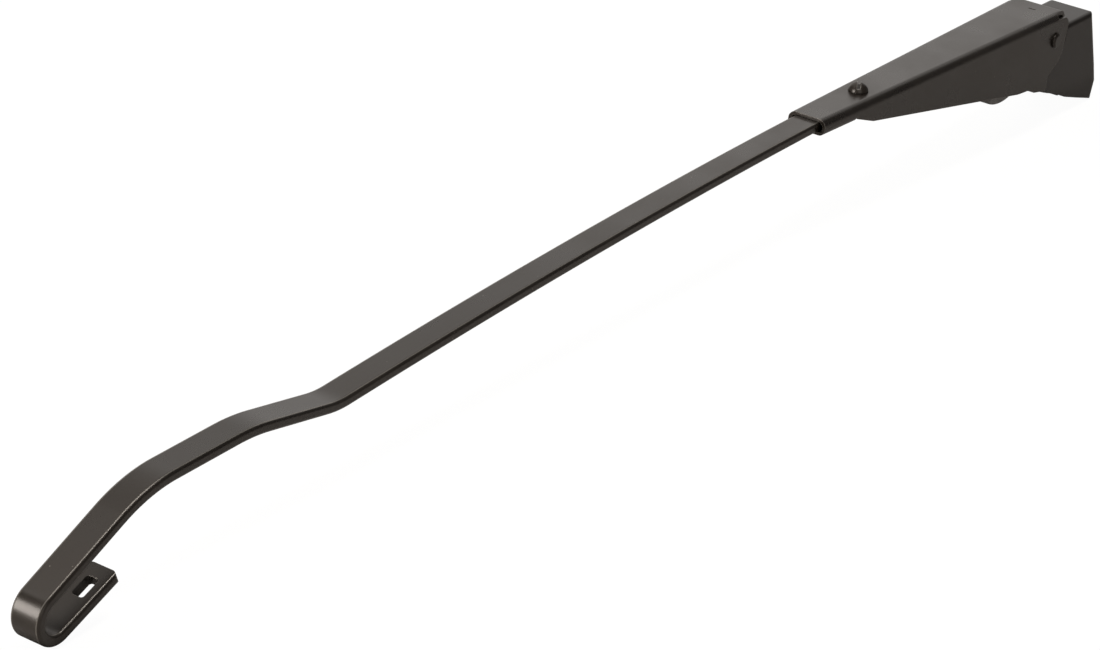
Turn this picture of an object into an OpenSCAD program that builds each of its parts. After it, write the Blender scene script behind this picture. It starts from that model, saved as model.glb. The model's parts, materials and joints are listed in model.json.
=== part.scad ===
// Windscreen wiper arm: mounting head, sprung folding channel and hook bar.
// The hinge axis lies along Y, the arm runs towards +X and the hooked tip hangs down.

/* [Head] */
// Height of the hinge pin above the nut's seat on the boss
pin_z = 10.5; // [10.4:0.1:12]
// Distance from the spindle to the hinge pin
pin_x = 19; // [18.5:0.5:22]
// Radius of the boss round the spindle
boss_r = 7; // [6.6:0.1:7.2]
// Height of the boss, from its foot to the nut's seat
boss_h = 13; // [11.5:0.5:13.5]
// Radius of the spindle bore above its taper
bore_r = 4.2; // [3.6:0.1:4.6]
// Radius of the tapered seat at the foot of the boss
taper_r = 4.9; // [4.8:0.1:5.4]
// Half the width over the cheeks
cheek_y = 7; // [6.8:0.1:7.2]
// Half the width of the slot between the cheeks
slot_y = 2.8; // [2.6:0.1:3.2]

/* [Channel] */
// Length of the channel forward of the hinge pin
channel_len = 137; // [125:1:150]
// Outer width at the hinge pin
ear_w = 20; // [19.8:0.2:22]
// Outer width at the front lip
lip_w = 12.8; // [12.4:0.2:14]
// Thickness of the sheet
sheet = 1; // [0.9:0.1:1.2]
// Height of the roof above the hinge pin
roof_z = 8.5; // [8.4:0.1:9.5]
// Outer radius of the folded edges
fold_r = 2.5; // [2:0.1:3]
// Length of the sleeve folded under the bar
sleeve_len = 18; // [12:1:24]

/* [Bar] */
// Width of the flat bar
bar_w = 9; // [7:0.5:9.5]
// Thickness of the flat bar
bar_t = 3; // [2.6:0.1:3.2]
// Length of the bowed run
bow_len = 217; // [150:1:260]
// Angle over which the run bows down
bow_angle = 3.4; // [1:0.2:6]
// Length of the straight piece before the hook
nose_len = 27; // [20:1:40]
// Radius of the hook at the middle of the bar
hook_r = 5.75; // [5:0.25:8]
// Length of the hook's leg
leg_len = 20; // [14:0.5:24]

/* [Spring and link] */
// Outer diameter of the spring
spring_d = 9; // [7.5:0.5:9]
// Thickness of the spring wire
wire_d = 1.8; // [1.4:0.1:1.8]
// Number of turns
spring_turns = 22; // [18:1:23]
// Width of the link, seen from the side
link_w = 3.2; // [2.8:0.1:3.4]
// Thickness of the link across the arm
link_t = 3; // [2.6:0.1:3.2]

/* [Nut cover] */
// Outer width of the cover
cover_w = 17; // [16.8:0.1:17]
// Thickness of the cover's walls
cover_wall = 1; // [0.8:0.05:1.1]
// Height of the cover's roof above the hinge pin
cover_z = 2; // [1.5:0.1:2.2]

/* [Hidden] */
$fn = 64;
lap = 0.5;
pin_r = 2.5;
run_gap = 0.05;
bush_r = 3.5;
flange_r = 5;
lug_r = 5.6;
sweep_r = 10.5;
tab_r = 2.1;
half_taper = atan((ear_w - lip_w) / 2 / channel_len);
roof_in = roof_z - sheet;
bar_z = roof_in - run_gap - bar_t / 2;
sleeve_z = bar_z - bar_t / 2 - run_gap - sheet;
screw_x = 108.2;
screw_r = 2;
anchor = [2, -13];
anchor_r = 2;
eyelet = [92.4, 1.6];
eyelet_r = 1.7;
bar_root = channel_len + 1;
tail_bend = 58;
tail_bend_r = 4.5;
tail_end = 2.8;
tail_rise = tail_bend_r * (1 - cos(tail_bend));
tail_climb = (bar_z - eyelet.y - tail_rise) / sin(tail_bend);
tail_len = tail_end + tail_climb;
tail_run = bar_root - eyelet.x - tail_climb * cos(tail_bend) - tail_bend_r * sin(tail_bend);
link_len = 32;
link_bow_r = 21;
pull = eyelet - anchor;
pull_len = norm(pull);
pull_tilt = atan2(pull.y, pull.x);
coil_r = (spring_d - wire_d) / 2;
coil_pitch = wire_d + 0.02;
loop_r = 2.8;
paint = [0.16, 0.14, 0.13];
steel = [0.62, 0.62, 0.6];
moulding = [0.13, 0.12, 0.11];
polymer = [0.75, 0.73, 0.66];

// Points of an outline moved inwards by d; each point is [x, y, corner radius], anticlockwise
function unit(a) = a / norm(a);
function flat(p) = [p[0], p[1]];
function at(v, i) = flat(v[(i + len(v)) % len(v)]);
function left_of(a) = [-a[1], a[0]];
function edge(v, i) = unit(at(v, i + 1) - at(v, i));
function turns_left(v, i) = edge(v, i - 1)[0] * edge(v, i)[1] - edge(v, i - 1)[1] * edge(v, i)[0] > 0;
function miter(a, b) = (a + b) / (1 + a * b);
function inset(v, d) = [
  for (i = [0 : len(v) - 1])
    let (m = miter(left_of(edge(v, i - 1)), left_of(edge(v, i))))
    [v[i][0] + d * m[0], v[i][1] + d * m[1], v[i][2] == 0 ? 0 : max(0.2, v[i][2] + (turns_left(v, i) ? -d : d))]
];

// The area between a corner and the arc of radius r that rounds it
module corner_piece(v, i, r) {
  p = at(v, i);
  a = -edge(v, i - 1);
  b = edge(v, i);
  half = acos(a * b) / 2;
  bisector = unit(a + b);
  centre = p + bisector * r / sin(half);
  difference() {
    polygon([p - bisector * 0.3, p + a * r / tan(half), centre, p + b * r / tan(half)]);
    translate(centre) circle(r = r);
  }
}

// Outline with each corner rounded by its own radius, moved inwards by d
module outline(points, d = 0) {
  v = d == 0 ? points : inset(points, d);
  difference() {
    union() {
      polygon([for (p = v) flat(p)]);
      for (i = [0 : len(v) - 1]) {
        if (v[i][2] > 0 && !turns_left(v, i)) corner_piece(v, i, v[i][2]);
      }
    }
    for (i = [0 : len(v) - 1]) {
      if (v[i][2] > 0 && turns_left(v, i)) corner_piece(v, i, v[i][2]);
    }
  }
}

// Sets a piece that is drawn round the hinge pin into the part's frame
module at_pin() {
  translate([pin_x, 0, pin_z]) children();
}

// Gives an XZ outline the half width y on both sides
module both_sides(y) {
  translate([0, y, 0]) rotate([90, 0, 0]) linear_extrude(2 * y) children();
}

// Gives an XZ outline a width from y0 to y1, on both sides of the middle
module cheeks(y0, y1) {
  for (m = [0, 1]) mirror([0, m, 0]) translate([0, y1, 0]) rotate([90, 0, 0]) linear_extrude(y1 - y0) children();
}

module cross_bore(r, y) {
  rotate([90, 0, 0]) cylinder(r = r, h = 2 * y, center = true);
}

// Boss, neck and lug of the head, seen from the side
module head_side() {
  foot = -pin_z - boss_h;
  difference() {
    union() {
      outline([[-pin_x, foot, 0], [-15, foot, 1.5], [4.5, -17, 2], [6, -13, 3], [5, -9, 0], [5.4, -2, 0], [-4.6, -2, 0], [-3.4, -10.2, 0], [-11, -10.6, 1], [-pin_x, foot + boss_h - 1, 0]]);
      circle(r = lug_r);
      outline([[0, -3, 0], [5.2, -3, 0], [9.5, 4.6, 0], [9.8, roof_in - run_gap, 0.6], [2.8, roof_in - run_gap, 0], [-3, 3, 0]]);
    }
    difference() {
      translate([-14, -12]) square([12, 18]);
      polygon([[0, 0], [20, 30], [20, -30], [-6.4, -17.6]]);
      circle(r = lug_r);
    }
  }
}

module head() {
  color(steel) difference() {
    union() {
      at_pin() cheeks(slot_y, cheek_y) head_side();
      translate([0, 0, -boss_h]) cylinder(r = boss_r, h = boss_h);
      translate([0, -cheek_y, -boss_h]) cube([pin_x - 13.5, 2 * cheek_y, boss_h - 2]);
    }
    translate([0, 0, -boss_h - lap]) cylinder(r = bore_r, h = boss_h + 2 * lap);
    translate([0, 0, -boss_h - lap]) cylinder(r1 = taper_r, r2 = bore_r, h = 7 + lap);
    at_pin() cross_bore(bush_r, cheek_y + lap);
    at_pin() translate([anchor.x, 0, anchor.y]) cross_bore(anchor_r, cheek_y + lap);
    at_pin() translate([-4.6, -slot_y, -30]) cube([30, 2 * slot_y, 40]);
  }
}

module link_pin() {
  color(steel) at_pin() translate([anchor.x, 0, anchor.y]) cross_bore(anchor_r, cheek_y - 0.1);
}

module hinge_pin() {
  reach = ear_w / 2 + 1.1;
  rim = 0.6;
  color(paint) at_pin() {
    cross_bore(pin_r, reach - rim);
    for (m = [0, 1]) mirror([0, m, 0]) translate([0, reach - rim, 0]) rotate([-90, 0, 0])
      cylinder(r1 = pin_r, r2 = pin_r - rim, h = rim);
  }
}

module hinge_bushes() {
  flange_y = ear_w / 2 - sheet - 0.2;
  color(polymer) at_pin() difference() {
    union() {
      cheeks(slot_y, cheek_y) circle(r = bush_r);
      cheeks(cheek_y, flange_y) circle(r = flange_r);
    }
    cross_bore(pin_r + run_gap, ear_w);
  }
}

// Half of the channel's section, open below, with its side face at y = 0
module slab(d) {
  outline([[-45, -45, 0], [-d, -45, 0], [-d, roof_z - d, fold_r - d], [-45, roof_z - d, 0]]);
}

// Tapered body under the roof, moved inwards by d
module tapered_body(d) {
  intersection_for (m = [0, 1]) {
    mirror([0, m, 0]) translate([0, ear_w / 2, 0]) rotate([0, 0, -half_taper]) translate([-20, 0, 0])
      rotate([90, 0, 90]) linear_extrude(channel_len + 40) slab(d);
  }
}

// Side of the channel: roof, curled rear, ear, foot of the ear and rising lower edge
module channel_side() {
  sleeve_x = channel_len - sleeve_len;
  outline([
    [channel_len, sleeve_z + 2, 0], [channel_len, roof_z, 0],
    [-7.1, roof_z, 3], [-7.4, 2.6, 0], [-5.3, -7.2, 4], [2, -12, 1.2], [1.7, -16.9, 1],
    [9.6, -15.6, 1.5], [14, -13.8, 2], [20, -13.5, 20], [41.8, -9.9, 0],
    [sleeve_x - 9.5, 1.2, 8], [sleeve_x - 0.4, sleeve_z + 0.8, 0], [sleeve_x + 0.3, sleeve_z + 2, 0]
  ]);
}

// Room under the roof, closed by the curl at the rear
module channel_room() {
  outline([
    [-20, -40, 0], [channel_len + 20, -40, 0], [channel_len + 20, roof_in, 0],
    [-7.1 + sheet, roof_in, 3 - sheet], [-7.1 + sheet, 5.2, 0], [-20, 5.2, 0]
  ]);
}

// Two tabs folded under the bar
module sleeve() {
  inner_z = sleeve_z + sheet;
  sleeve_x = channel_len - sleeve_len;
  reach = sleeve_len + 40;
  difference() {
    intersection() {
      tapered_body(0);
      translate([sleeve_x + 0.3, -20, sleeve_z]) cube([sleeve_len - 0.3, 40, 5]);
      intersection_for (m = [0, 1]) {
        mirror([0, m, 0]) translate([0, ear_w / 2, 0]) rotate([0, 0, -half_taper]) translate([sleeve_x - 20, 0, 0])
          rotate([90, 0, 90]) linear_extrude(reach)
            outline([[-30, sleeve_z, 0], [0, sleeve_z, tab_r], [0, 12, 0], [-30, 12, 0]]);
      }
    }
    intersection() {
      tapered_body(sheet);
      translate([sleeve_x - 20, -20, inner_z]) cube([reach, 40, 10]);
    }
    translate([sleeve_x - 20, -0.9, -10]) cube([reach, 1.8, 15]);
  }
}

module channel() {
  relief = 1.5;
  color(paint) at_pin() difference() {
    union() {
      difference() {
        intersection() {
          tapered_body(0);
          both_sides(30) channel_side();
        }
        intersection() {
          tapered_body(sheet);
          both_sides(30) channel_room();
        }
      }
      sleeve();
    }
    cross_bore(pin_r, 20);
    translate([screw_x, 0, 0]) cylinder(r = screw_r + 0.2, h = 20);
    for (m = [0, 1]) mirror([0, m, 0]) translate([-10, ear_w / 2 - relief, 6.6]) cube([9, 5, 5]);
    cheeks(ear_w / 2 - relief, ear_w / 2 + 1) difference() {
      translate([-9, 3.9]) square([5, 4]);
      translate([-4, 3.4]) circle(r = 3.4);
    }
    translate([1, -0.4, roof_z - 0.4]) cube([0.6, 2.6, 1]);
  }
}

// Runs of the bar from the tail's end to the hook's leg: [length, turn upwards, steps]
function run(length) = [length, 0, 1];
function bend(angle, r, steps) = [abs(angle) * PI / 180 * r, angle, steps];
bar_runs = [
  run(tail_len), bend(-tail_bend, tail_bend_r, 6), run(tail_run),
  bend(-1.6, 100, 2), [bow_len, -bow_angle, 16], bend(13.5, 35, 7), run(23), bend(-11, 65, 6), run(22.5),
  bend(-24.5, 46, 9), run(nose_len), bend(-177, hook_r, 30), run(leg_len)
];

// Stations [x, z, heading] along one run, and along all of them
function station(p, w, f) = let (h = p[2] + w[1] * f, k = w[0] / (w[1] * PI / 180)) w[1] == 0
  ? [p[0] + w[0] * f * cos(h), p[1] + w[0] * f * sin(h), h]
  : [p[0] + k * (sin(h) - sin(p[2])), p[1] - k * (cos(h) - cos(p[2])), h];
function along(p, runs, i = 0) = i == len(runs) ? [] : concat(
  [for (k = [1 : runs[i][2]]) station(p, runs[i], k / runs[i][2])],
  along(station(p, runs[i], 1), runs, i + 1)
);
function path_from(p, runs) = concat([p], along(p, runs));

// Rectangle w by t with rounded corners, as points
function rounded_section(w, t, r, n = 3) = [
  for (c = [[1, 1, 0], [-1, 1, 90], [-1, -1, 180], [1, -1, 270]]) for (k = [0 : n])
    [c[0] * (w / 2 - r) + r * cos(c[2] + 90 * k / n), c[1] * (t / 2 - r) + r * sin(c[2] + 90 * k / n)]
];

// Surface through rings of points, closed at both ends
module skin(rings) {
  n = len(rings);
  m = len(rings[0]);
  polyhedron(
    points = [for (q = rings) each q],
    faces = concat(
      [[for (k = [0 : m - 1]) k]],
      [for (i = [0 : n - 2]) for (k = [0 : m - 1]) [i * m + k, (i + 1) * m + k, (i + 1) * m + (k + 1) % m, i * m + (k + 1) % m]],
      [[for (k = [m - 1 : -1 : 0]) (n - 1) * m + k]]
    ),
    convexity = 12
  );
}

// The section swept along stations in the XZ plane
module swept_bar(stations) {
  section = rounded_section(bar_w, bar_t, 0.6);
  skin([for (s = stations) [for (q = section) [s[0] - q[1] * sin(s[2]), q[0], s[1] + q[1] * cos(s[2])]]]);
}

// Places children at a station, with +X along the bar
module at_station(s) {
  translate([s[0], 0, s[1]]) rotate([0, -s[2], 0]) children();
}

// Rectangle with rounded corners
module rounded_plate(x, y, r) {
  square([x, y - 2 * r], center = true);
  square([x - 2 * r, y], center = true);
  for (i = [-1, 1], j = [-1, 1]) translate([i * (x / 2 - r), j * (y / 2 - r)]) circle(r = r);
}

module hook_bar() {
  slot_near = 3.9;
  slot_far = 10.2;
  slot_w = 3.6;
  leg_corner = 2.1;
  start = [eyelet.x - tail_end * cos(tail_bend), eyelet.y - tail_end * sin(tail_bend), tail_bend];
  stations = path_from(start, bar_runs);
  tip = stations[len(stations) - 1];
  color(paint) at_pin() difference() {
    swept_bar(stations);
    translate([screw_x, 0, 0]) cylinder(r = screw_r, h = 20);
    at_station([eyelet.x, eyelet.y, tail_bend]) cylinder(r = eyelet_r, h = 12, center = true);
    at_station(tip) {
      for (m = [0, 1]) mirror([0, m, 0]) translate([-leg_corner, bar_w / 2 - leg_corner, 0]) difference() {
        translate([0, 0, -5]) cube([5, 5, 10]);
        cylinder(r = leg_corner, h = 12, center = true);
      }
      translate([-(slot_far + slot_near) / 2, 0, 0]) linear_extrude(12, center = true)
        rounded_plate(slot_far - slot_near, slot_w, 0.8);
    }
  }
}

module bar_screw() {
  head_r = 3.1;
  color(paint) at_pin() translate([screw_x, 0, roof_z]) difference() {
    union() {
      intersection() {
        cylinder(r = head_r + 1, h = head_r);
        translate([0, 0, -0.2]) sphere(r = head_r, $fn = 96);
      }
      translate([0, 0, bar_z - bar_t / 2 - 0.8 - roof_z]) cylinder(r = screw_r, h = roof_z - bar_z + bar_t / 2 + 1.2);
    }
    rotate(30) translate([-5, -0.5, 1.4]) cube([10, 1, 5]);
  }
}

// Link drawn along +X from the anchor pin, bulging down round the hinge
module c_link() {
  drop = sqrt(link_bow_r * link_bow_r - link_len * link_len / 4);
  color(steel) at_pin() translate([anchor.x, 0, anchor.y]) rotate([0, -pull_tilt, 0]) both_sides(link_t / 2) difference() {
    union() {
      intersection() {
        translate([link_len / 2, drop]) difference() {
          circle(r = link_bow_r + link_w / 2, $fn = 128);
          circle(r = link_bow_r - link_w / 2, $fn = 128);
        }
        polygon([[0, 0], [link_len / 2, drop], [link_len, 0], [link_len + 2, -20], [-2, -20]]);
      }
      circle(r = anchor_r + 2);
      translate([link_len, 0]) circle(r = 3);
    }
    circle(r = anchor_r + run_gap);
    translate([link_len, 0]) circle(r = 1.6);
  }
}

// Path of the spring wire along the pull line: rear loop, coil, front loop
coil_len = spring_turns * coil_pitch;
coil_x0 = link_len + (pull_len - link_len - coil_len) / 2;
coil_x1 = coil_x0 + coil_len;
coil_steps = 12;
plate_angle = tail_bend - pull_tilt;
front_x = pull_len - loop_r * cos(plate_angle);
front_z = -loop_r * sin(plate_angle);
rear_x = link_len + loop_r;
function coil_point(i) = let (t = i / coil_steps) [coil_x0 + t * coil_pitch, coil_r * sin(360 * t), coil_r * cos(360 * t)];
function bezier(a, b, c, d, u) = pow(1 - u, 3) * a + 3 * u * pow(1 - u, 2) * b + 3 * u * u * (1 - u) * c + pow(u, 3) * d;
wire_path = concat(
  [for (a = [50 : 22 : 270]) [rear_x + loop_r * cos(a), loop_r * sin(a), 0]],
  [for (u = [0.15 : 0.17 : 0.9]) bezier([rear_x, -loop_r, 0], [rear_x + 3.5, -loop_r, 0],
    [coil_x0 - 0.8, -2.5, coil_r], [coil_x0, 0, coil_r], u)],
  [for (i = [0 : round(spring_turns * coil_steps)]) coil_point(i)],
  [for (u = [0.12 : 0.17 : 0.9]) bezier([coil_x1, 0, coil_r], [coil_x1 + 0.8, 2.5, coil_r],
    [front_x - 3.5, 0, front_z + loop_r], [front_x, 0, front_z + loop_r], u)],
  [for (a = [90 : -22 : -130]) [front_x + loop_r * cos(a), 0, front_z + loop_r * sin(a)]]
);
function heading(p, i) = unit(p[min(i + 1, len(p) - 1)] - p[max(i - 1, 0)]);

// Frame carried along the path without twist
function carried(u, t) = unit(u - (u * t) * t);
function frames(p, i, u) = let (t = heading(p, i), v = carried(u, t)) i == len(p) - 1 ? [[t, v]] : concat([[t, v]], frames(p, i + 1, v));

// Round wire swept along a path
module wire(p, sides = 8) {
  f = frames(p, 0, [0, 0, 1]);
  skin([for (i = [0 : len(p) - 1]) [
    for (k = [0 : sides - 1]) p[i] + wire_d / 2 * (cos(360 * k / sides) * f[i][1] + sin(360 * k / sides) * cross(f[i][0], f[i][1]))
  ]]);
}

module tension_spring() {
  color(steel) at_pin() translate([anchor.x, 0, anchor.y]) rotate([0, -pull_tilt, 0]) wire(wire_path);
}

// Side of the nut cover
rear_of_cover = [[-29.6, cover_z, 1.2], [-36.7, -17, 0], [-38.9, -23.8, 3]];
rear_foot = [-37.2, -30.3, 1.6];
rear_r = 3;
module cover_side() {
  outline(concat([[1, -17.3, 1], [1, cover_z, 0]], rear_of_cover, [rear_foot, [-23.8, -26.5, 0], [-15.8, -24.1, 0]]));
}

// Side of the room in the cover, open in front and below
module cover_room() {
  below = flat(rear_foot) + 5 * (flat(rear_foot) - flat(rear_of_cover[2]));
  outline(concat([[12, below.y, 0], [12, cover_z, 0]], rear_of_cover, [[below.x, below.y, 0]]), cover_wall);
}

// Rounded rear corners and shoulders of the cover, moved inwards by d
module rounded_behind(a, b, d) {
  y = cover_w / 2 - d;
  r = rear_r - d;
  translate([a[0], 0, a[1]]) rotate([0, atan2(a[0] - b[0], a[1] - b[1]), 0]) translate([d, 0, -90]) linear_extrude(180)
    outline([[0, -y, r], [90, -y, 0], [90, y, 0], [0, y, r]]);
}
module cover_body(d) {
  y = cover_w / 2 - d;
  intersection() {
    rotate([90, 0, 90]) translate([0, 0, -60]) linear_extrude(80)
      outline([[y, -70, 0], [y, cover_z - d, 1.6 - d], [-y, cover_z - d, 1.6 - d], [-y, -70, 0]]);
    rounded_behind(rear_of_cover[0], rear_of_cover[1], d);
    rounded_behind(rear_of_cover[1], rear_of_cover[2], d);
    rounded_behind(rear_of_cover[2], rear_foot, d);
  }
}

module nut_cover() {
  color(moulding) at_pin() difference() {
    intersection() {
      both_sides(20) cover_side();
      cover_body(0);
    }
    difference() {
      intersection() {
        both_sides(20) cover_room();
        cover_body(cover_wall);
      }
      cheeks(cheek_y + run_gap, 10) translate([-14, -15]) square([5, 1.5]);
    }
    cross_bore(sweep_r, 20);
  }
}

head();
link_pin();
hinge_pin();
hinge_bushes();
channel();
hook_bar();
bar_screw();
tension_spring();
c_link();
nut_cover();
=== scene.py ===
"""Wiper arm: finishes, fine forms, studio and camera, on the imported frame."""

from __future__ import annotations

import json
import logging
import math
from dataclasses import dataclass
from enum import Enum
from typing import Any, Iterable, Sequence

import bmesh
import bpy
from mathutils import Matrix, Vector

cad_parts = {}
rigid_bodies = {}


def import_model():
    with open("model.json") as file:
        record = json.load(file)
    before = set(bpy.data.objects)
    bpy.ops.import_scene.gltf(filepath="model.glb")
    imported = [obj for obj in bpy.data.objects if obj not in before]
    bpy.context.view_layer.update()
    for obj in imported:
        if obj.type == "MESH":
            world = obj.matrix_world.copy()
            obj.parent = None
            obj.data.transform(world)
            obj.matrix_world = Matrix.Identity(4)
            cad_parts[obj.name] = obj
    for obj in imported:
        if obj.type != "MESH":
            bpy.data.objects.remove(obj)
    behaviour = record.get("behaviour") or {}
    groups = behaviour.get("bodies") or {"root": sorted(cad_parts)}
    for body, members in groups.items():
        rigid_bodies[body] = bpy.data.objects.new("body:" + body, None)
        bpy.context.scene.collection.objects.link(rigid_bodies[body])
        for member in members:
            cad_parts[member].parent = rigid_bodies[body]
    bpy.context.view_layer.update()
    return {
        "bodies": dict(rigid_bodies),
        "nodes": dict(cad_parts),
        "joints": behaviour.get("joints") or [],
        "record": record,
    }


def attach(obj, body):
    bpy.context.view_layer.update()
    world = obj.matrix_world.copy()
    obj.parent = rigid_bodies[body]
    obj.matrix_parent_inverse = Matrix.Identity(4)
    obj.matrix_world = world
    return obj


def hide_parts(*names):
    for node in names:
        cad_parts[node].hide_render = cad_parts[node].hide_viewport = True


LOG = logging.getLogger("wiper_arm")
MM = 0.001
# Centre of the hinge pin in the part's frame, in millimetres: the side view is measured from it.
PIN = Vector((19.0, 0.0, 10.5))

Point = tuple[float, float]
Triple = tuple[float, float, float]
Colour = tuple[float, float, float, float]
Nodes = dict[str, bpy.types.Object]

WHITE: Colour = (1.0, 1.0, 1.0, 1.0)
WARM_SHEEN: Colour = (1.0, 0.93, 0.87, 1.0)
SHADER_SAMPLES = 6
# How far the rounded normal leaves the flat one: where an edge begins to count, and where it does in full.
EDGE_SPAN: Point = (0.004, 0.16)


def opaque(tone: Triple, strength: float = 1.0) -> Colour:
    """Return a tone as a colour for a socket.

    Args:
        tone: Red, green and blue.
        strength: What each is multiplied by.

    Returns:
        The colour, fully opaque.
    """
    red, green, blue = (value * strength for value in tone)
    return red, green, blue, 1.0


class Socket:
    """A shader value that can be used in arithmetic."""

    def __init__(self, shader: "Shader", link: Any) -> None:
        """Keep the tree and the output socket.

        Args:
            shader: The tree that new Math nodes go into.
            link: The output socket that carries the value.
        """
        self.shader = shader
        self.link = link

    def _math(self, operation: str, *values: Any) -> "Socket":
        """Add a Math node.

        Args:
            operation: The Math node's operation.
            values: Its inputs in order.

        Returns:
            The node's result.
        """
        return self.shader.node("ShaderNodeMath", {"operation": operation}, dict(enumerate(values)))

    def __add__(self, other: Any) -> "Socket":
        """Add."""
        return self._math("ADD", self, other)

    __radd__ = __add__

    def __mul__(self, other: Any) -> "Socket":
        """Multiply."""
        return self._math("MULTIPLY", self, other)

    __rmul__ = __mul__

    def __sub__(self, other: Any) -> "Socket":
        """Subtract."""
        return self._math("SUBTRACT", self, other)

    def __rsub__(self, other: Any) -> "Socket":
        """Subtract from a number."""
        return self._math("SUBTRACT", other, self)

    def __pow__(self, other: Any) -> "Socket":
        """Raise to a power."""
        return self._math("POWER", self, other)

    def clamped(self) -> "Socket":
        """Limit to the range from 0 to 1."""
        return self.shader.node("ShaderNodeClamp", {}, {0: self})


class Shader:
    """The node tree of one material or of the world."""

    def __init__(self, owner: bpy.types.Material | bpy.types.World) -> None:
        """Empty the owner's tree.

        Args:
            owner: The material or world that the nodes are for.
        """
        owner.use_nodes = True
        self.owner = owner
        self.tree = owner.node_tree
        self.tree.nodes.clear()

    def node(self, kind: str, settings: dict[str, Any], inputs: dict[Any, Any], output: Any = 0) -> Socket:
        """Add any node.

        Args:
            kind: The node's type.
            settings: Its own settings, set before its sockets.
            inputs: Values or sockets by input name or index.
            output: The output wanted, by name or index.

        Returns:
            The wrapped output.
        """
        node = self.tree.nodes.new(kind)
        for key, value in settings.items():
            setattr(node, key, value)
        for key, value in inputs.items():
            if isinstance(value, Socket):
                self.tree.links.new(value.link, node.inputs[key])
            else:
                node.inputs[key].default_value = value
        return Socket(self, node.outputs[output])

    def close(self, surface: Socket, kind: str = "ShaderNodeOutputMaterial") -> None:
        """Lead a shader to the tree's output.

        Args:
            surface: The shader.
            kind: The output node's type.
        """
        out = self.tree.nodes.new(kind)
        self.tree.links.new(surface.link, out.inputs["Surface"])

    def principled(self, **sockets: Any) -> bpy.types.Material:
        """Close a material with a Principled shader.

        Args:
            sockets: Principled inputs, with underscores for spaces.

        Returns:
            The material.
        """
        inputs = {key.replace("_", " "): value for key, value in sockets.items()}
        self.close(self.node("ShaderNodeBsdfPrincipled", {}, inputs))
        return self.owner

    def mix(self, factor: Any, low: Any, high: Any) -> Socket:
        """Mix two colours.

        Args:
            factor: The share of the second colour.
            low: The first colour.
            high: The second colour.

        Returns:
            The mixed colour.
        """
        return self.node("ShaderNodeMix", {"data_type": "RGBA"}, {0: factor, 6: low, 7: high}, 2)

    def ramp(self, value: Socket, low: float, high: float) -> Socket:
        """Return 0 below low, 1 above high, and a smooth rise between.

        Args:
            value: The value to spread.
            low: Where the rise starts.
            high: Where it ends.

        Returns:
            The spread value.
        """
        return self.node(
            "ShaderNodeMapRange",
            {"interpolation_type": "SMOOTHSTEP"},
            {"Value": value, "From Min": low, "From Max": high},
        )

    def place(self) -> Socket:
        """Return the point on the piece, in metres."""
        return self.node("ShaderNodeTexCoord", {}, {}, "Object")

    def noise(self, per_mm: float, detail: float = 2.0, stretch: Triple = (1.0, 1.0, 1.0)) -> Socket:
        """Add noise of a real scale.

        Args:
            per_mm: Features per millimetre.
            detail: Octaves of finer noise.
            stretch: Scale along each axis.

        Returns:
            The noise from 0 to 1.
        """
        scaled = self.node("ShaderNodeMapping", {}, {"Vector": self.place(), "Scale": stretch})
        inputs = {"Vector": scaled, "Scale": per_mm / MM, "Detail": detail}
        return self.node("ShaderNodeTexNoise", {}, inputs)

    def cells(self, feature: str, per_mm: float) -> Socket:
        """Add scattered points of a real scale.

        Args:
            feature: The Voronoi node's feature.
            per_mm: Points per millimetre.

        Returns:
            The distance to the nearest point, in its own scale.
        """
        inputs = {"Vector": self.place(), "Scale": per_mm / MM}
        return self.node("ShaderNodeTexVoronoi", {"feature": feature}, inputs, "Distance")

    def hollow(self, reach_mm: float) -> Socket:
        """Return how enclosed the surface is.

        Args:
            reach_mm: How far around it counts.

        Returns:
            0 in the open, up to 1 fully enclosed.
        """
        settings, inputs = {"samples": SHADER_SAMPLES}, {"Distance": reach_mm * MM}
        return 1.0 - self.node("ShaderNodeAmbientOcclusion", settings, inputs, "AO")

    def soft_edge(self, radius_mm: float) -> tuple[Socket, Socket]:
        """Round the edges in the shading.

        Args:
            radius_mm: Radius of the rounding.

        Returns:
            The rounded normal, and a mask that is 1 on the edges.
        """
        rounded = self.node("ShaderNodeBevel", {"samples": SHADER_SAMPLES}, {"Radius": radius_mm * MM})
        flat = self.node("ShaderNodeNewGeometry", {}, {}, "Normal")
        dot = {"operation": "DOT_PRODUCT"}
        along = self.node("ShaderNodeVectorMath", dot, {0: rounded, 1: flat}, "Value")
        return rounded, self.ramp(1.0 - along, *EDGE_SPAN)

    def bump(self, height: Socket, depth_mm: float, normal: Socket) -> Socket:
        """Turn a height into a bumped normal.

        Args:
            height: Height from 0 to 1.
            depth_mm: What a height of 1 means.
            normal: The normal under it.

        Returns:
            The bumped normal.
        """
        inputs = {"Height": height, "Distance": depth_mm * MM, "Strength": 1.0, "Normal": normal}
        return self.node("ShaderNodeBump", {}, inputs)


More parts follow.
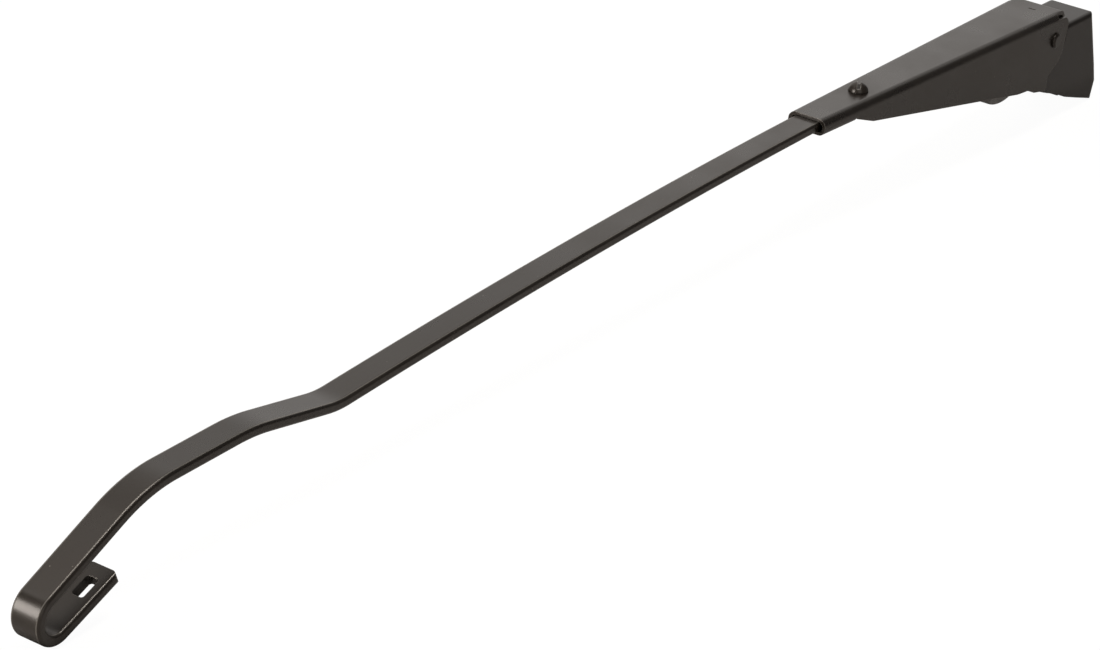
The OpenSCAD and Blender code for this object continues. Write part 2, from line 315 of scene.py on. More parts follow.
@dataclass(frozen=True)
class SatinPaint:
    """Baked brownish-black paint over pressed steel.

    Along edges the paint is thinned by use and also painted lighter as a highlight, towards the edge tone and
    a share of metal. A rim above 0 adds a painted highlight line where the normal has only begun to lean
    sideways, as along the bar's rounded edges. Hollows within the reach get painted shade: they turn to a
    dark tone and a metallic share that dims their reflection, and lose their gloss over the shadow's range.
    """

    name: str
    tone: Triple = (0.0135, 0.0104, 0.0078)
    cloudy: float = 1.35
    cloud_per_mm: float = 0.05
    cloud_span: Point = (0.35, 0.7)
    gloss: float = 0.24
    cloud_dulls: float = 0.10
    dull_span: Point = (0.3, 0.75)
    grain_dulls: float = 0.05
    grain_per_mm: float = 3.5
    peel_per_mm: float = 0.9
    peel_share: float = 0.7
    peel_mm: float = 0.0025
    edge_mm: float = 0.3
    edge_polish: float = 0.05
    # Edge tone and metal share: partly paint thinned by use, partly painted highlight.
    wear_and_highlight_tone: Triple = (0.13, 0.118, 0.105)
    wear_and_highlight_share: float = 0.65
    grain_share_of_wear_and_highlight: float = 0.2
    grain_span: Point = (0.3, 0.75)
    metal_of_wear_and_highlight: float = 0.1
    # rim: strength of a painted highlight line along rounded edges.
    rim: float = 0.0
    rim_start: Point = (0.012, 0.04)
    rim_end: Point = (0.24, 0.12)
    speck: Triple = (0.22, 0.2, 0.17)
    specks_per_mm: float = 0.42
    speck_span: Point = (0.10, 0.05)
    patches_per_mm: float = 0.11
    patch_span: Point = (0.56, 0.64)
    speck_strength: float = 0.5
    reach_mm: float = 1.4
    # Painted shade: the tone and metal share that enclosed places turn to.
    painted_shade: Triple = (0.004, 0.0035, 0.003)
    shadow: Point = (0.4, 0.8)
    painted_shade_metal: float = 0.9
    hollow_dulls: float = 0.45
    hollow_span: Point = (0.25, 0.8)
    coat: float = 0.12
    coat_rough: float = 0.16

    def specks(self, s: Shader) -> Socket:
        """Return a mask of the few pale specks.

        Args:
            s: The tree.

        Returns:
            The mask from 0 to 1.
        """
        dots = s.ramp(s.cells("F1", self.specks_per_mm), *self.speck_span)
        patches = s.ramp(s.noise(self.patches_per_mm, 1.0), *self.patch_span)
        return (dots * patches * self.speck_strength).clamped()

    def wear_and_highlight(self, s: Shader, edge: Socket, grain: Socket) -> Socket:
        """Return a mask of edges where the paint is thinned by use and painted lighter as a highlight.

        Args:
            s: The tree.
            edge: The mask of the edges.
            grain: Fine noise that breaks the mask up.

        Returns:
            The mask from 0 to 1.
        """
        normal = s.node("ShaderNodeTexCoord", {}, {}, "Normal")
        across = s.node("ShaderNodeSeparateXYZ", {}, {0: normal}, "Y") ** 2.0
        # Painted highlight: a lighter, more metallic line where the normal has only begun to lean sideways.
        line = self.rim * (s.ramp(across, *self.rim_start) * s.ramp(across, *self.rim_end))
        return ((edge + line) * (self.wear_and_highlight_share + self.grain_share_of_wear_and_highlight * s.ramp(grain, *self.grain_span))).clamped()

    def material(self) -> bpy.types.Material:
        """Build the paint's material.

        Returns:
            The material.
        """
        s = Shader(bpy.data.materials.new(self.name))
        cloud = s.noise(self.cloud_per_mm, 3.0)
        peel = s.noise(self.peel_per_mm, 2.0)
        grain = s.noise(self.grain_per_mm, 1.0)
        rounded, edge = s.soft_edge(self.edge_mm)
        wear_and_highlight = self.wear_and_highlight(s, edge, grain)
        # Painted shade: enclosed places within the reach are found here and darkened below.
        hollow = s.hollow(self.reach_mm)
        painted_shade = s.ramp(hollow, *self.shadow)
        tone = s.mix(s.ramp(cloud, *self.cloud_span), opaque(self.tone), opaque(self.tone, self.cloudy))
        # Edges take the lighter edge tone: partly paint thinned by use, partly painted highlight.
        tone = s.mix(wear_and_highlight, tone, opaque(self.wear_and_highlight_tone))
        tone = s.mix(self.specks(s), tone, opaque(self.speck))
        # Painted shade darkens the hollows.
        tone = s.mix(painted_shade, tone, opaque(self.painted_shade))
        rough = self.gloss + self.cloud_dulls * s.ramp(cloud, *self.dull_span) + self.grain_dulls * grain
        rough = rough - self.edge_polish * edge + self.hollow_dulls * s.ramp(hollow, *self.hollow_span)
        height = self.peel_share * peel + (1.0 - self.peel_share) * grain
        return s.principled(
            Base_Color=tone,
            # Metal in hollows dims their reflection as painted shade; metal on edges is partly use and partly
            # painted highlight.
            Metallic=(painted_shade * self.painted_shade_metal + wear_and_highlight * self.metal_of_wear_and_highlight).clamped(),
            Roughness=rough,
            Normal=s.bump(height, self.peel_mm, rounded),
            Specular_Tint=WARM_SHEEN,
            Coat_Weight=self.coat,
            Coat_Roughness=self.coat_rough,
        )


@dataclass(frozen=True)
class MouldedPlastic:
    """Satin moulded plastic with a faint grain, whose coat fades in its hollows as painted shade."""

    name: str
    tone: Triple = (0.0125, 0.0102, 0.0082)
    cloudy: float = 1.3
    cloud_per_mm: float = 0.04
    cloud_span: Point = (0.35, 0.7)
    gloss: float = 0.25
    cloud_dulls: float = 0.08
    index: float = 1.3
    edge_tone: Triple = (0.055, 0.05, 0.045)
    edge_share: float = 0.3
    edge_mm: float = 0.9
    grains_per_mm: float = 2.6
    grain_mm: float = 0.003
    coat: float = 0.18
    coat_rough: float = 0.28
    reach_mm: float = 12.0
    painted_shade_fades_coat: float = 0.8

    def material(self) -> bpy.types.Material:
        """Build the plastic's material.

        Returns:
            The material.
        """
        s = Shader(bpy.data.materials.new(self.name))
        cloud = s.noise(self.cloud_per_mm, 2.0)
        grain = s.cells("SMOOTH_F1", self.grains_per_mm)
        rounded, edge = s.soft_edge(self.edge_mm)
        tone = s.mix(s.ramp(cloud, *self.cloud_span), opaque(self.tone), opaque(self.tone, self.cloudy))
        tone = s.mix((edge * self.edge_share).clamped(), tone, opaque(self.edge_tone))
        return s.principled(
            Base_Color=tone,
            Roughness=self.gloss + self.cloud_dulls * cloud,
            IOR=self.index,
            # Painted shade: the coat fades where the part is enclosed, which dims its reflection there.
            Coat_Weight=(self.coat - self.painted_shade_fades_coat * s.hollow(self.reach_mm)).clamped(),
            Coat_Roughness=self.coat_rough,
            Specular_Tint=WARM_SHEEN,
            Normal=s.bump(grain, self.grain_mm, rounded),
        )


class Metal(Enum):
    """Bare metals inside the arm."""

    CAST = "cast"
    BRIGHT = "bright"
    WIRE = "wire"
    PRESSED = "pressed"


@dataclass(frozen=True)
class Skin:
    """What the surface of a bare metal is like."""

    grain_per_mm: float
    grain_mm: float
    edge_mm: float
    metalness: float


CAST_SKIN = Skin(grain_per_mm=1.6, grain_mm=0.03, edge_mm=0.5, metalness=0.35)
FINE_SKIN = Skin(grain_per_mm=6.0, grain_mm=0.004, edge_mm=0.2, metalness=0.95)


@dataclass(frozen=True)
class BareMetal:
    """Cast, ground, drawn or pressed metal, dull where it is stained and brighter on its edges."""

    name: str
    kind: Metal
    tone: Triple
    gloss: float
    along: Triple = (1.0, 1.0, 1.0)
    stained: float = 0.55
    stains_per_mm: float = 0.12
    stain_span: Point = (0.4, 0.72)
    stain_dulls: float = 0.16
    grain_dulls: float = 0.1
    edge_gain: float = 1.4
    edge_lift: float = 0.05
    edge_share: float = 0.5

    def material(self) -> bpy.types.Material:
        """Build the metal's material.

        Returns:
            The material.
        """
        s = Shader(bpy.data.materials.new(self.name))
        skin = CAST_SKIN if self.kind is Metal.CAST else FINE_SKIN
        grain = s.noise(skin.grain_per_mm, 3.0, self.along)
        stain = s.noise(self.stains_per_mm, 4.0)
        rounded, edge = s.soft_edge(skin.edge_mm)
        red, green, blue = (min(1.0, value * self.edge_gain + self.edge_lift) for value in self.tone)
        tone = s.mix(s.ramp(stain, *self.stain_span), opaque(self.tone), opaque(self.tone, self.stained))
        tone = s.mix((edge * self.edge_share).clamped(), tone, opaque((red, green, blue)))
        return s.principled(
            Base_Color=tone,
            Metallic=skin.metalness,
            Roughness=self.gloss + self.stain_dulls * stain + self.grain_dulls * grain,
            Normal=s.bump(grain, skin.grain_mm, rounded),
        )


@dataclass(frozen=True)
class BushPolymer:
    """Off-white bearing polymer."""

    name: str
    tone: Triple = (0.55, 0.51, 0.42)
    cloudy: float = 0.8
    cloud_per_mm: float = 0.4
    cloud_span: Point = (0.3, 0.7)
    gloss: float = 0.4
    cloud_dulls: float = 0.15
    edge_tone: Triple = (0.68, 0.64, 0.55)
    edge_share: float = 0.4
    edge_mm: float = 0.15
    grain_per_mm: float = 2.0
    grain_mm: float = 0.006

    def material(self) -> bpy.types.Material:
        """Build the polymer's material.

        Returns:
            The material.
        """
        s = Shader(bpy.data.materials.new(self.name))
        cloud = s.noise(self.cloud_per_mm, 3.0)
        rounded, edge = s.soft_edge(self.edge_mm)
        tone = s.mix(s.ramp(cloud, *self.cloud_span), opaque(self.tone), opaque(self.tone, self.cloudy))
        tone = s.mix((edge * self.edge_share).clamped(), tone, opaque(self.edge_tone))
        return s.principled(
            Base_Color=tone,
            Roughness=self.gloss + self.cloud_dulls * cloud,
            Normal=s.bump(s.noise(self.grain_per_mm), self.grain_mm, rounded),
        )


Finish = SatinPaint | MouldedPlastic | BareMetal | BushPolymer


def dress(piece: bpy.types.Object, finish: Finish) -> None:
    """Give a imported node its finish.

    Args:
        piece: The node's object.
        finish: The finish for every slot.
    """
    material = finish.material()
    if not piece.material_slots:
        piece.data.materials.append(material)
    for slot in piece.material_slots:
        slot.material = material
    LOG.info("dressed %s with %s", piece.name, material.name)


def coat(piece: bpy.types.Object, finish: Finish) -> None:
    """Give a piece that is built here its one finish.

    Args:
        piece: The piece.
        finish: Its finish.
    """
    piece.data.materials.clear()
    piece.data.materials.append(finish.material())
    LOG.info("built %s, %d faces, with %s", piece.name, len(piece.data.polygons), finish.name)


def around(radius: float, degrees: Iterable[float]) -> list[Point]:
    """Return points at given angles round a centre.

    Args:
        radius: Their distance in millimetres.
        degrees: The angles.

    Returns:
        The points from the centre.
    """
    return [(radius * math.cos(math.radians(a)), radius * math.sin(math.radians(a))) for a in degrees]


def quarter(centre: Point, radius: float, start: float, parts: int) -> list[Point]:
    """Return points on a quarter of a circle.

    Args:
        centre: Its centre in millimetres.
        radius: Its radius in millimetres.
        start: The first point's angle in degrees.
        parts: Parts that the points divide it into.

    Returns:
        The points, anticlockwise.
    """
    turns = around(radius, (start + 90.0 / parts * k for k in range(parts + 1)))
    return [(centre[0] + x, centre[1] + y) for x, y in turns]


def rounded_box(right: float, left: float, up: float, radius: float, parts: int) -> list[Point]:
    """Return the outline of a box with rounded corners, in millimetres.

    Args:
        right: X of the corners' centres on the right.
        left: X of the corners' centres on the left.
        up: Y of the upper centres, with the lower ones as far below.
        radius: The corners' radius.
        parts: Parts of each corner.

    Returns:
        The points, anticlockwise.
    """
    centres = ((right, up), (left, up), (left, -up), (right, -up))
    return [p for k, centre in enumerate(centres) for p in quarter(centre, radius, 90.0 * k, parts)]


def circle(radius: float, sides: int = 48) -> list[Point]:
    """Return points round a circle.

    Args:
        radius: Its radius in millimetres.
        sides: Number of points.

    Returns:
        The points, anticlockwise.
    """
    angles = [math.tau * k / sides for k in range(sides)]
    return [(radius * math.cos(a), radius * math.sin(a)) for a in angles]


def curve(a: Triple, b: Triple, c: Triple, d: Triple, parts: int = 10) -> list[Vector]:
    """Return points inside a cubic curve.

    Args:
        a: Its start.
        b: The handle at the start.
        c: The handle at the end.
        d: Its end.
        parts: Parts that the points divide it into.

    Returns:
        The points between both ends.
    """
    found = []
    for k in range(1, parts):
        u = k / parts
        v = 1 - u
        near = v ** 3 * Vector(a) + 3 * u * v ** 2 * Vector(b)
        found.append(near + 3 * u * u * v * Vector(c) + u ** 3 * Vector(d))
    return found


def side_frame(x: float, z: float, turn: float = 0.0) -> Matrix:
    """Return a frame in the side view, in millimetres.

    Args:
        x: Forward of the hinge pin.
        z: Above the hinge pin.
        turn: How far its X axis rises, in radians.

    Returns:
        The frame's matrix.
    """
    return Matrix.Translation(PIN + Vector((x, 0.0, z))) @ Matrix.Rotation(-turn, 4, "Y")


def prism(target: bmesh.types.BMesh, outline: Sequence[Point], half: float, frame: Matrix) -> None:
    """Add a closed prism to a mesh, in millimetres.

    Args:
        target: The mesh that takes it.
        outline: Points across the prism.
        half: Half its height.
        frame: Where it stands.
    """
    rings = []
    for level in (-half, half):
        rings.append([target.verts.new((frame @ Vector((x, y, level))) * MM) for x, y in outline])
    low, high = rings
    target.faces.new(list(reversed(low)))
    target.faces.new(high)
    for k in range(len(outline)):
        n = (k + 1) % len(outline)
        target.faces.new((low[k], low[n], high[n], high[k]))


def mesh_object(
    name: str, points: Iterable[Sequence[float]], faces: Iterable[Sequence[int]]
) -> bpy.types.Object:
    """Make a smooth-shaded mesh object from millimetres.

    Args:
        name: The object's name.
        points: Points in the part's frame, in millimetres.
        faces: Their faces.

    Returns:
        The linked object.
    """
    mesh = bpy.data.meshes.new(name)
    mesh.from_pydata([tuple(Vector(p) * MM) for p in points], [], [tuple(f) for f in faces])
    mesh.validate()
    piece = bpy.data.objects.new(name, mesh)
    bpy.context.scene.collection.objects.link(piece)
    mesh.polygons.foreach_set("use_smooth", [True] * len(mesh.polygons))
    return piece


def tube_faces(rings: int, sides: int) -> list[list[int]]:
    """Return the faces of a closed skin over rings of points.

    Args:
        rings: Number of rings.
        sides: Points in each.

    Returns:
        Quads and two end caps.
    """
    faces = [list(range(sides)), [(rings - 1) * sides + k for k in reversed(range(sides))]]
    for i in range(rings - 1):
        for k in range(sides):
            n = (k + 1) % sides
            faces.append([i * sides + k, (i + 1) * sides + k, (i + 1) * sides + n, i * sides + n])
    return faces


def apply_modifiers(piece: bpy.types.Object) -> None:
    """Apply every modifier of a piece.

    Args:
        piece: The piece.
    """
    graph = bpy.context.evaluated_depsgraph_get()
    mesh = bpy.data.meshes.new_from_object(piece.evaluated_get(graph))
    piece.modifiers.clear()
    piece.data = mesh


def smooth_by_angle(piece: bpy.types.Object, degrees: float) -> None:
    """Shade a piece smooth, with sharp edges above an angle.

    Args:
        piece: The piece.
        degrees: The angle between faces.
    """
    work = bmesh.new()
    work.from_mesh(piece.data)
    limit = math.radians(degrees)
    for face in work.faces:
        face.smooth = True
    for edge in work.edges:
        edge.smooth = len(edge.link_faces) == 2 and edge.calc_face_angle(0.0) < limit
    work.to_mesh(piece.data)
    work.free()
    flats = piece.modifiers.new("flats", "WEIGHTED_NORMAL")
    flats.keep_sharp = True
    apply_modifiers(piece)


@dataclass(frozen=True)
class Run:
    """One run of the bar: a length that turns by an angle."""

    length: float
    turn: float = 0.0
    steps: int = 1

    def at(self, start: Sequence[float], share: float) -> Triple:
        """Return the station at a share of the run.

        Args:
            start: X, Z and heading where the run starts.
            share: From 0 to 1.

        Returns:
            X, Z and heading in millimetres and degrees.
        """
        x, z, heading = start
        end = heading + self.turn * share
        if not self.turn:
            bearing, gone = math.radians(heading), self.length * share
            return x + gone * math.cos(bearing), z + gone * math.sin(bearing), heading
        radius = self.length / math.radians(self.turn)
        a, b = math.radians(heading), math.radians(end)
        return x + radius * (math.sin(b) - math.sin(a)), z - radius * (math.cos(b) - math.cos(a)), end


def bend(turn: float, radius: float, steps: int) -> Run:
    """Return a bend of a centreline radius.

    Args:
        turn: Degrees, upwards positive.
        radius: Millimetres.
        steps: Stations along it.

    Returns:
        The run.
    """
    return Run(abs(math.radians(turn)) * radius, turn, steps)


@dataclass(frozen=True)
class HookBar:
    """Flat bar from the spring's eyelet to the hook's slotted leg, in millimetres from the hinge pin."""

    width: float = 9.0
    # A hundredth under the solid's 3 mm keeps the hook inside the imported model's box.
    thick: float = 2.99
    corner: float = 1.0
    corner_parts: int = 9
    eyelet: Point = (92.4, 1.6)
    eyelet_radius: float = 1.7
    tail_turn: float = 58.0
    tail_end: float = 2.8
    tail_radius: float = 4.5
    tail_steps: tuple[int, int] = (16, 6)
    level: float = 5.95
    root: float = 138.0
    mouth: Run = bend(-1.6, 100.0, 4)
    bow: Run = Run(217.0, -3.4, 40)
    kick: Run = bend(13.5, 35.0, 16)
    rise: Run = Run(23.0)
    crest: Run = bend(-11.0, 65.0, 16)
    slope: Run = Run(22.5)
    shoulder: Run = bend(-24.5, 46.0, 24)
    shank: Run = Run(27.0, 0.0, 3)
    hook: Run = bend(-177.0, 5.75, 72)
    leg: Run = Run(20.0, 0.0, 2)
    leg_corner: float = 1.7
    leg_corner_parts: int = 15
    slot_ends: Point = (3.9, 10.2)
    slot_width: float = 3.6
    slot_corner: float = 0.8
    slot_corner_parts: int = 6
    screw: Point = (108.2, 5.0)
    screw_radius: float = 2.0
    leg_cut: float = 6.0
    tail_cut: float = 5.0
    beyond: float = 2.0
    sharp_degrees: float = 35.0
    # The rim line is a painted highlight along the bar's rounded edges, and the 9 mm reach paints shade where
    # the bar and the hook's leg face each other.
    paint: SatinPaint = SatinPaint(
        "bar_paint_look", wear_and_highlight_tone=(0.2, 0.185, 0.165), rim=1.0, metal_of_wear_and_highlight=0.5, reach_mm=9.0, shadow=(0.15, 0.75)
    )

    def runs(self) -> list[Run]:
        """Return the runs from the tail's end to the leg's end.

        Returns:
            The tail, whose climb ends at the bar's level, and the named runs ahead of the channel.
        """
        turn = math.radians(self.tail_turn)
        climb = (self.level - self.eyelet[1] - self.tail_radius * (1 - math.cos(turn))) / math.sin(turn)
        reach = self.root - self.eyelet[0] - climb * math.cos(turn) - self.tail_radius * math.sin(turn)
        bend_steps, level_steps = self.tail_steps
        bent = bend(-self.tail_turn, self.tail_radius, bend_steps)
        tail = [Run(self.tail_end + climb), bent, Run(reach, 0.0, level_steps)]
        long_run = [self.mouth, self.bow, self.kick, self.rise, self.crest, self.slope]
        return tail + long_run + [self.shoulder, self.shank, self.hook, self.leg]

    def stations(self) -> list[Triple]:
        """Return the stations from the tail's end to the leg's end.

        Returns:
            X, Z and heading of each, in millimetres and degrees.
        """
        turn = math.radians(self.tail_turn)
        x, z = self.eyelet
        place = (x - self.tail_end * math.cos(turn), z - self.tail_end * math.sin(turn), self.tail_turn)
        found = [place]
        for run in self.runs():
            found += [run.at(place, k / run.steps) for k in range(1, run.steps + 1)]
            place = run.at(place, 1.0)
        return found

    def section(self) -> list[Point]:
        """Return the section with rounded corners.

        Returns:
            Points across and up, anticlockwise.
        """
        return rounded_box(
            self.width / 2 - self.corner,
            -self.width / 2 + self.corner,
            self.thick / 2 - self.corner,
            self.corner,
            self.corner_parts,
        )

    def slot(self) -> list[Point]:
        """Return the slot's outline.

        Returns:
            Points back from the leg's end and across, with rounded corners.
        """
        near, far = self.slot_ends
        return rounded_box(
            -near - self.slot_corner,
            -far + self.slot_corner,
            self.slot_width / 2 - self.slot_corner,
            self.slot_corner,
            self.slot_corner_parts,
        )

    def leg_waste(self, side: int) -> list[Point]:
        """Return the outline of what a rounded corner takes off the leg's end.

        Args:
            side: 1 or -1.

        Returns:
            Points back from the leg's end and across.
        """
        radius, edge = self.leg_corner, self.width / 2
        points = [(self.beyond, edge + self.beyond), (self.beyond, edge - radius)]
        points += quarter((-radius, edge - radius), radius, 0.0, self.leg_corner_parts)
        points += [(-radius, edge + self.beyond)]
        return [(x, side * y) for x, y in points]

    def cutter(self, tip: Triple) -> bpy.types.Object:
        """Return one object that cuts the slot, the leg's corners, the eyelet and the screw's hole.

        Args:
            tip: The last station.

        Returns:
            The joined cutter.
        """
        cut = bmesh.new()
        leg_end = side_frame(tip[0], tip[1], math.radians(tip[2]))
        for outline in (self.slot(), self.leg_waste(1), self.leg_waste(-1)):
            prism(cut, outline, self.leg_cut, leg_end)
        tail = side_frame(*self.eyelet, math.radians(self.tail_turn))
        prism(cut, circle(self.eyelet_radius), self.tail_cut, tail)
        prism(cut, circle(self.screw_radius), self.tail_cut, side_frame(*self.screw))
        mesh = bpy.data.meshes.new("bar_cutter")
        bmesh.ops.recalc_face_normals(cut, faces=cut.faces)
        cut.to_mesh(mesh)
        cut.free()
        cutter = bpy.data.objects.new("bar_cutter", mesh)
        bpy.context.scene.collection.objects.link(cutter)
        return cutter

    def build(self) -> None:
        """Sweep the bar, cut it, paint it and put it in place of the node."""
        stations = self.stations()
        section = self.section()
        points = []
        for x, z, heading in stations:
            a = math.radians(heading)
            for across, up in section:
                points.append(PIN + Vector((x - up * math.sin(a), across, z + up * math.cos(a))))
        bar = mesh_object("swept_bar", points, tube_faces(len(stations), len(section)))
        cutter = self.cutter(stations[-1])
        cuts = bar.modifiers.new("cuts", "BOOLEAN")
        cuts.object = cutter
        cuts.solver = "EXACT"
        apply_modifiers(bar)
        bpy.data.objects.remove(cutter, do_unlink=True)
        smooth_by_angle(bar, self.sharp_degrees)
        coat(bar, self.paint)
        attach(bar, "arm")
        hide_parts("hook_bar")


@dataclass(frozen=True)
class FoldedChannel:
    """Pressed channel, the screw through its roof and the hinge pin in its ears, all painted."""

    # Its lighter, more metallic edges are partly paint thinned by use and partly painted highlights.
    sheet: SatinPaint = SatinPaint("channel_paint_look", wear_and_highlight_tone=(0.3, 0.28, 0.25), edge_mm=0.32, metal_of_wear_and_highlight=0.6)
    # Its bright edges are partly use and partly painted highlights on the slot's rims; its shadow range
    # paints shade into the slot.
    screw: SatinPaint = SatinPaint(
        "screw_paint_look", wear_and_highlight_tone=(0.45, 0.43, 0.4), edge_mm=0.35, metal_of_wear_and_highlight=0.8, shadow=(0.2, 0.45)
    )
    pin: SatinPaint = SatinPaint("pin_paint_look", edge_mm=0.2)

    def build(self, nodes: Nodes) -> None:
        """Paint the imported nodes.

        Args:
            nodes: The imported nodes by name.
        """
        dress(nodes["channel"], self.sheet)
        dress(nodes["bar_screw"], self.screw)
        dress(nodes["hinge_pin"], self.pin)


@dataclass(frozen=True)
class MountingHead:
    """Die-cast head, its anchor pin, its hinge bushes and the cover over its nut."""

    cast: BareMetal = BareMetal("cast_look", Metal.CAST, (0.09, 0.085, 0.08), 0.5)
    pin: BareMetal = BareMetal("pin_steel_look", Metal.BRIGHT, (0.52, 0.51, 0.5), 0.24, (1.0, 0.1, 1.0))
    bushes: BushPolymer = BushPolymer("bush_look")
    cover: MouldedPlastic = MouldedPlastic("cover_look")

    def build(self, nodes: Nodes) -> None:
        """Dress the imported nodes.

        Args:
            nodes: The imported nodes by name.
        """
        dress(nodes["head"], self.cast)
        dress(nodes["link_pin"], self.pin)
        dress(nodes["hinge_bushes"], self.bushes)
        dress(nodes["nut_cover"], self.cover)


@dataclass(frozen=True)
class TensionSpring:
    """Close-wound spring with a loop at each end, and the C-link that pulls it.

    It is drawn along the pull line, in millimetres, with X forward and both pivots measured from the hinge
    pin.
    """

    anchor: Point = (2.0, -13.0)
    eyelet: Point = (92.4, 1.6)
    link: float = 32.0
    outer: float = 9.0
    wire: float = 1.8
    wire_sides: int = 14
    clearance: float = 0.01
    turns: int = 22
    steps: int = 32
    loop: float = 2.8
    # Wider than the rear loop, so that it clears the eyelet's rim when the arm is folded.
    front_loop: float = 3.1
    lead: float = 3.5
    run_out: float = 0.8
    swing: float = 2.5
    plate: float = 58.0
    rear_angles: range = range(50, 271, 11)
    front_angles: range = range(90, -131, -11)
    sharp_degrees: float = 50.0
    steel: BareMetal = BareMetal("spring_look", Metal.WIRE, (0.36, 0.35, 0.34), 0.28)
    link_steel: BareMetal = BareMetal("link_look", Metal.PRESSED, (0.3, 0.29, 0.28), 0.34)

    def path(self) -> list[Vector]:
        """Return the wire's middle line.

        Returns:
            Points from the rear loop's end to the front loop's, in the part's frame.
        """
        pull = Vector(self.eyelet) - Vector(self.anchor)
        length, tilt = pull.length, math.atan2(pull.y, pull.x)
        coil = (self.outer - self.wire) / 2
        pitch = self.wire + 2 * self.clearance
        start = self.link + (length - self.link - self.turns * pitch) / 2
        stop = start + self.turns * pitch
        plate = math.radians(self.plate) - tilt
        rear = self.link + self.loop
        front = Vector((length - self.loop * math.cos(plate), 0.0, -self.loop * math.sin(plate)))
        points = [Vector((rear + x, y, 0.0)) for x, y in around(self.loop, self.rear_angles)]
        points += curve((rear, -self.loop, 0.0), (rear + self.lead, -self.loop, 0.0),
                        (start - self.run_out, -self.swing, coil), (start, 0.0, coil))
        for t in (i / self.steps for i in range(self.turns * self.steps + 1)):
            a = math.tau * t
            points.append(Vector((start + t * pitch, coil * math.sin(a), coil * math.cos(a))))
        top = front.z + self.front_loop
        points += curve((stop, 0.0, coil), (stop + self.run_out, self.swing, coil),
                        (front.x - self.lead, 0.0, top), (front.x, 0.0, top))
        points += [front + Vector((x, 0.0, z)) for x, z in around(self.front_loop, self.front_angles)]
        frame = side_frame(*self.anchor, tilt)
        return [frame @ point for point in points]

    def build(self, nodes: Nodes) -> None:
        """Dress the link, sweep the spring's wire and put it in place of its node.

        Args:
            nodes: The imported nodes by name.
        """
        dress(nodes["c_link"], self.link_steel)
        path = self.path()
        section = circle(self.wire / 2 - self.clearance, self.wire_sides)
        points, up = [], Vector((0.0, 0.0, 1.0))
        for i, place in enumerate(path):
            along = (path[min(i + 1, len(path) - 1)] - path[max(i - 1, 0)]).normalized()
            up = (up - up.dot(along) * along).normalized()
            across = along.cross(up)
            points += [place + (up * x + across * y) for x, y in section]
        spring = mesh_object("wound_spring", points, tube_faces(len(path), self.wire_sides))
        smooth_by_angle(spring, self.sharp_degrees)
        coat(spring, self.steel)
        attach(spring, "spring")
        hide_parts("tension_spring")


@dataclass(frozen=True)
class Panel:
    """Soft rectangular lamp, in metres, with the brightness of its face."""

    name: str
    place: Triple
    aim: Triple
    width: float
    height: float
    radiance: float

    def hang(self, tone: Triple) -> None:
        """Hang the lamp so that it faces its aim.

        Args:
            tone: The light's colour.
        """
        data = bpy.data.lights.new(self.name, "AREA")
        data.shape = "RECTANGLE"
        data.size = self.width
        data.size_y = self.height
        data.energy = math.pi * self.width * self.height * self.radiance
        data.color = tone
        lamp = bpy.data.objects.new(self.name, data)
        way = Vector(self.aim) - Vector(self.place)
        lamp.matrix_world = Matrix.Translation(self.place) @ way.to_track_quat("-Z", "Y").to_matrix().to_4x4()
        bpy.context.scene.collection.objects.link(lamp)


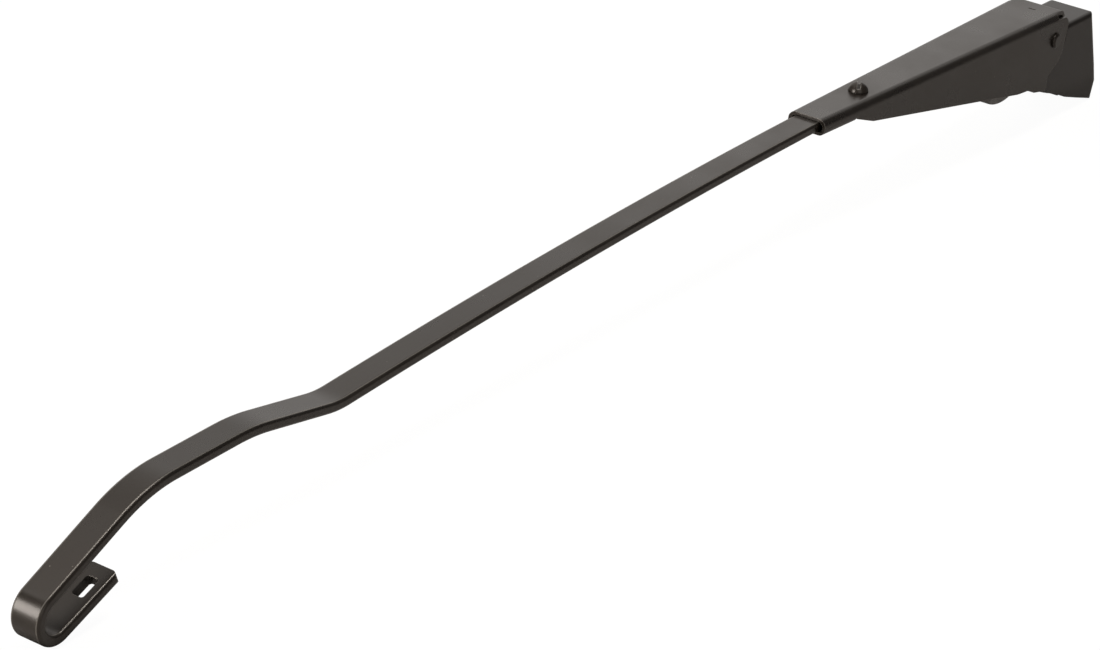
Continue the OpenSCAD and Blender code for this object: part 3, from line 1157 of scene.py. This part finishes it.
@dataclass(frozen=True)
class Studio:
    """Camera at the photograph's view, white floor and soft lamps."""

    eye: Triple = (1045.415, 501.916, 408.163)
    bearing: float = 33.352
    pitch: float = 24.476
    roll: float = 5.091
    focal_px: float = 3713.7
    frame_px: int = 1100
    sensor_mm: float = 36.0
    near_far: Point = (0.01, 50.0)
    chin: Triple = (-17.4, 0.0, -19.7)
    hook: Triple = (480.0, 0.0, -23.0)
    floor_half: float = 6000.0
    floor_tone: Triple = (0.5, 0.48, 0.46)
    floor_glow: float = 1.14
    glow_share: float = 0.84
    lamp_tone: Triple = (1.0, 0.965, 0.93)
    world_light: float = 0.1
    # Each panel is also what one side of the dark paint reflects.
    panels: tuple[Panel, ...] = (
        Panel("backdrop", (-0.72, -0.73, 0.47), (0.22, 0.0, 0.0), 2.0, 1.1, 0.61),
        Panel("middle_panel", (-0.78, -0.57, 0.54), (0.22, 0.0, 0.0), 0.44, 0.36, 0.36),
        Panel("upper_panel", (0.05, -0.70, 1.08), (0.22, 0.0, 0.0), 1.3, 0.8, 0.62),
        Panel("overhead_strip", (0.30, 0.17, 1.25), (0.30, 0.0, 0.0), 0.62, 0.24, 14.5),
        Panel("rear_fill", (1.55, 1.6, 0.75), (0.2, 0.0, 0.0), 1.6, 1.0, 1.1),
        Panel("edge_box", (0.65, -0.60, 0.93), (0.156, 0.0, 0.02), 0.35, 0.35, 1.3),
        Panel("nose_box", (1.17, -0.43, 0.24), (0.47, 0.0, 0.0), 0.5, 0.44, 11.0),
    )

    def camera(self) -> None:
        """Set the camera to the photograph's view."""
        a, e, r = (math.radians(v) for v in (self.bearing, self.pitch, self.roll))
        back = Vector((math.cos(e) * math.cos(a), math.cos(e) * math.sin(a), math.sin(e)))
        side = Vector((-math.sin(a), math.cos(a), 0.0))
        up = back.cross(side)
        right = side * math.cos(r) + up * math.sin(r)
        top = up * math.cos(r) - side * math.sin(r)
        data = bpy.data.cameras.new("camera")
        data.sensor_width = self.sensor_mm
        data.lens = self.focal_px / self.frame_px * self.sensor_mm
        data.clip_start, data.clip_end = self.near_far
        camera = bpy.data.objects.new("camera", data)
        matrix = Matrix((right, top, back)).transposed().to_4x4()
        matrix.translation = Vector(self.eye) * MM
        camera.matrix_world = matrix
        bpy.context.scene.collection.objects.link(camera)
        bpy.context.scene.camera = camera

    def floor(self) -> None:
        """Lay a floor under the cover's chin and the hook, white to the camera and pale to the part."""
        far = self.floor_half
        corners = [(-far, -far, 0), (far, -far, 0), (far, far, 0), (-far, far, 0)]
        floor = mesh_object("floor", corners, [(0, 1, 2, 3)])
        chin, hook = Vector(self.chin), Vector(self.hook)
        slope = math.atan2(chin.z - hook.z, hook.x - chin.x)
        floor.matrix_world = Matrix.Translation(hook * MM) @ Matrix.Rotation(slope, 4, "Y")
        s = Shader(bpy.data.materials.new("floor_white"))
        seen = s.node("ShaderNodeLightPath", {}, {}, "Is Camera Ray")
        body = s.node("ShaderNodeBsdfDiffuse", {}, {"Color": opaque(self.floor_tone)})
        glow = s.node("ShaderNodeEmission", {}, {"Color": WHITE, "Strength": self.floor_glow})
        s.close(s.node("ShaderNodeMixShader", {}, {0: seen * self.glow_share, 1: body, 2: glow}))
        floor.data.materials.append(s.owner)

    def sky(self) -> None:
        """Surround the part with a faint light that the camera sees as white."""
        world = bpy.data.worlds.new("studio")
        s = Shader(world)
        seen = s.node("ShaderNodeLightPath", {}, {}, "Is Camera Ray")
        light = s.node("ShaderNodeBackground", {}, {"Color": WHITE, "Strength": self.world_light})
        white = s.node("ShaderNodeBackground", {}, {"Color": WHITE, "Strength": 1.0})
        s.close(s.node("ShaderNodeMixShader", {}, {0: seen, 1: light, 2: white}), "ShaderNodeOutputWorld")
        bpy.context.scene.world = world

    def build(self) -> None:
        """Set up the camera, the floor and all light."""
        bpy.context.scene.view_settings.view_transform = "Standard"
        self.camera()
        self.floor()
        for panel in self.panels:
            panel.hang(self.lamp_tone)
        self.sky()
        LOG.info("studio ready, %d lamps", len(self.panels))


def main() -> None:
    """Build the dressed wiper arm."""
    logging.basicConfig(level=logging.INFO, format="%(message)s")
    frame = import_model()
    nodes = frame["nodes"]
    Studio().build()
    HookBar().build()
    FoldedChannel().build(nodes)
    MountingHead().build(nodes)
    TensionSpring().build(nodes)


if __name__ == "__main__":
    main()
